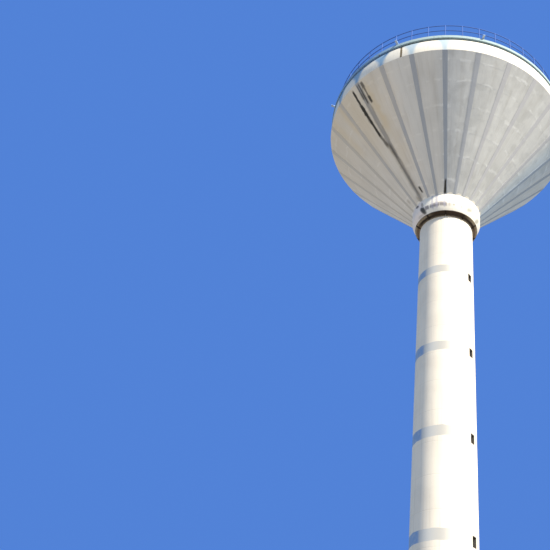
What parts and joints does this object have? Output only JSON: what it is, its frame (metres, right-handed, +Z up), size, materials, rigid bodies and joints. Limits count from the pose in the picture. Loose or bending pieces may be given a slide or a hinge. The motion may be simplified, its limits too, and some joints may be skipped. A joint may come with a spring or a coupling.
{
  "type": "inverted-cone water tower",
  "caption": "Concrete water tower: a slender hollow shaft carries a ribbed inverted-cone tank with a shallow roof, a guard rail and a window lantern.",
  "frame": {"origin": "centre of the shaft's base, on the ground", "axes": "+Z up along the shaft; the column of shaft windows and the door face +X; one tank rib lies over +X"},
  "size_m": [12.1654, 12.067, 34.7],
  "materials": {
    "shaft_paint": "weathered white masonry paint with light blue bands on concrete",
    "bare_concrete": "bare float-finished concrete",
    "door_paint": "faded blue gloss paint on sheet steel",
    "collar_paint": "white masonry paint with grime and rust runs",
    "rusty_steel": "heavily rusted steel plate",
    "tank_paint": "weathered off-white paint with blue-grey ribs, rust and black runs",
    "rim_paint": "white masonry paint with faint blue rib ends",
    "roof_concrete": "weathered rendered concrete with a pale blue edge",
    "lantern_paint": "weathered white masonry paint",
    "rail_paint": "dark blue painted steel with rust at the joints",
    "lamp_metal": "pale grey enamelled lamp housing"
  },
  "bodies": {
    "root": {"shaft_base": "shaft_paint", "shaft_lower": "shaft_paint", "shaft_middle": "shaft_paint", "shaft_upper": "shaft_paint", "shaft_head": "shaft_paint", "ground_floor": "bare_concrete", "landing_1": "bare_concrete", "landing_2": "bare_concrete", "landing_3": "bare_concrete", "landing_4": "bare_concrete", "landing_5": "bare_concrete", "door_frame": "door_paint", "door_leaf": "door_paint", "tank_collar": "collar_paint", "carrier_ring": "rusty_steel", "tank_cone_1": "tank_paint", "tank_cone_2": "tank_paint", "tank_cone_3": "tank_paint", "tank_cone_4": "tank_paint", "tank_cone_5": "tank_paint", "tank_cone_6": "tank_paint", "tank_cone_7": "tank_paint", "tank_cone_8": "tank_paint", "tank_rim": "rim_paint", "roof_slab": "roof_concrete", "lantern_wall_1": "lantern_paint", "lantern_wall_2": "lantern_paint", "lantern_wall_3": "lantern_paint", "lantern_wall_4": "lantern_paint", "lantern_wall_5": "lantern_paint", "lantern_cap": "roof_concrete", "guard_rail_1": "rail_paint", "guard_rail_2": "rail_paint", "guard_rail_3": "rail_paint", "guard_rail_4": "rail_paint", "guard_rail_5": "rail_paint", "rim_lamp_1": "lamp_metal", "rim_lamp_2": "lamp_metal", "rim_lamp_3": "lamp_metal", "rim_lamp_4": "lamp_metal", "rim_lamp_5": "lamp_metal", "rim_lamp_6": "lamp_metal", "rim_lamp_7": "lamp_metal", "rim_lamp_8": "lamp_metal"}
  },
  "joints": []
}
